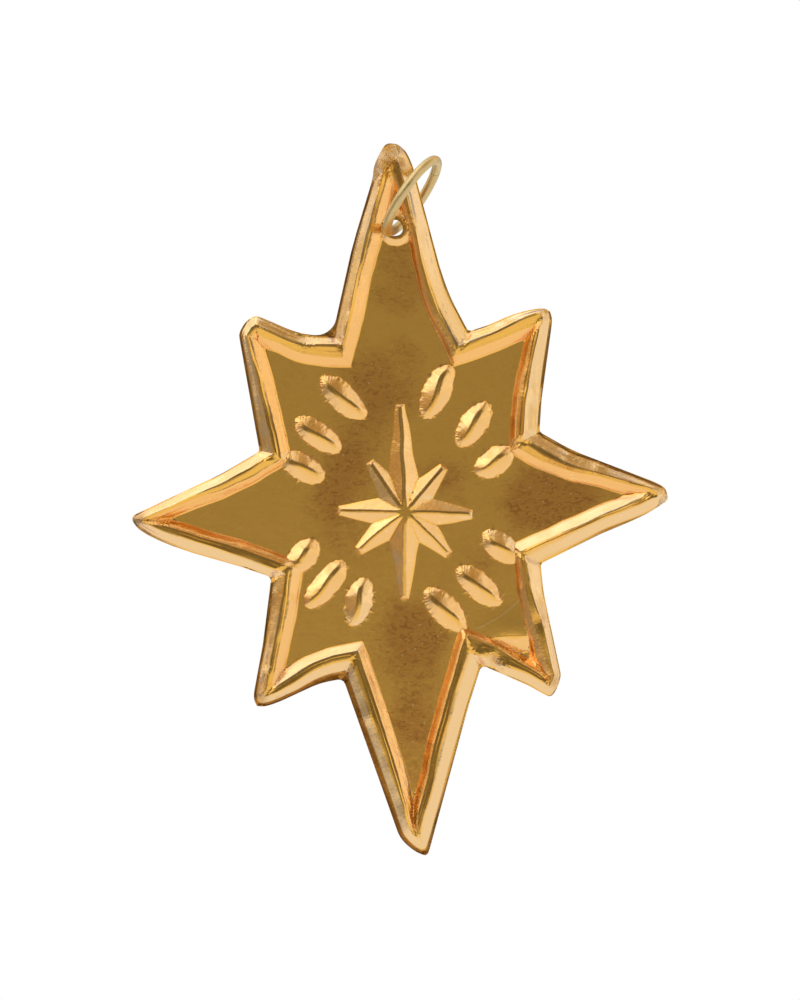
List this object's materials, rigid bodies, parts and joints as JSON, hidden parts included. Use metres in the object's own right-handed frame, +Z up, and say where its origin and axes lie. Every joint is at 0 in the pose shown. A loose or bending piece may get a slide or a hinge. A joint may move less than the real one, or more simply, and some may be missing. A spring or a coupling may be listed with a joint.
{
  "type": "tin star ornament",
  "caption": "Flat embossed tin star ornament, gold lacquered, with a raised border, leaf marks and a small rayed star in the middle, hanging from a wire ring.",
  "frame": {"origin": "the point inside the far end of the wire ring where a hook or thread bears", "axes": "+Z up as the star hangs, the embossed front of the star faces -Y, +X to the right seen from the front"},
  "size_m": [0.0671, 0.0116, 0.0895],
  "materials": {
    "lacquered_tin": "polished",
    "brass_wire": "satin"
  },
  "bodies": {
    "ring": {"hanging_ring": "brass_wire"},
    "star": {"tin_star": "lacquered_tin"}
  },
  "joints": [
    {"name": "star_swing", "type": "hinge", "parent": "ring", "child": "star", "pos_m": [-0.00483, 0.00283, -0.00779], "axis": [0, 1, 0], "range_deg": [-92, 15]}
  ]
}
